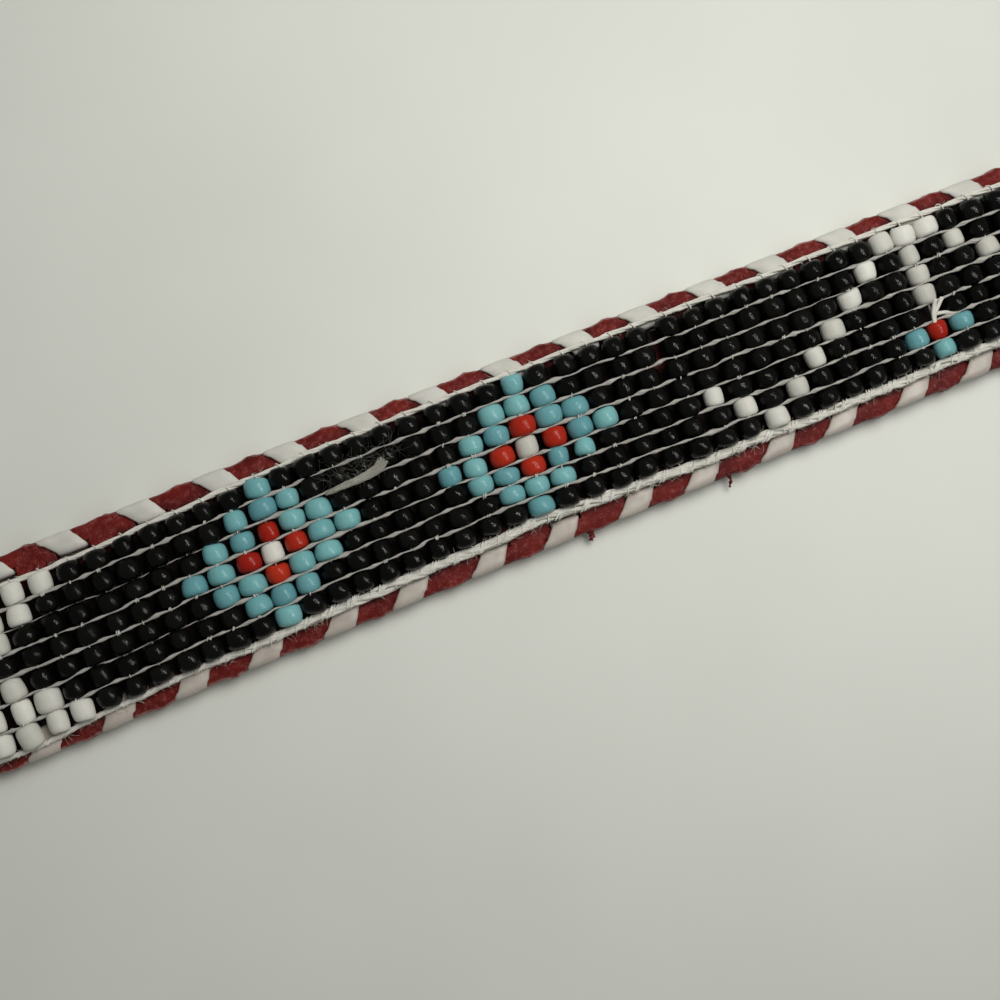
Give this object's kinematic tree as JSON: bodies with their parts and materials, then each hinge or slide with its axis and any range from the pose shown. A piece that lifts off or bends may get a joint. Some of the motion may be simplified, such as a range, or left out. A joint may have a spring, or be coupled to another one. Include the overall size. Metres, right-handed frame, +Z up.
{
  "type": "beaded belt",
  "caption": "Narrow leather belt with a loom-woven strip of seed beads, whip-stitched flat lacing round both edges and a plain frame buckle.",
  "frame": {"origin": "under the middle of the belt's box, on the surface that the belt lies on", "axes": "+X along the belt from the buckle to the tip, +Y across to the upper edge, +Z up from the surface through the beaded face"},
  "size_m": [0.7118, 0.0338, 0.0082],
  "materials": {
    "strap_leather": "scuffed oxblood leather with fibrous cut edges",
    "lace_plastic": "glossy flat craft lace, slightly creased",
    "bead_glass": "glossy opaque seed beads in black, white, turquoise and orange-red",
    "thread_cotton": "twisted off-white cotton thread, a little fuzzy",
    "buckle_metal": "satin nickel plate with fine scratches"
  },
  "bodies": {
    "root": {"leather_strap": "strap_leather", "edge_lacing_upper": "lace_plastic", "edge_lacing_lower": "lace_plastic", "bead_band": "bead_glass", "belt_buckle": "buckle_metal"}
  },
  "joints": []
}
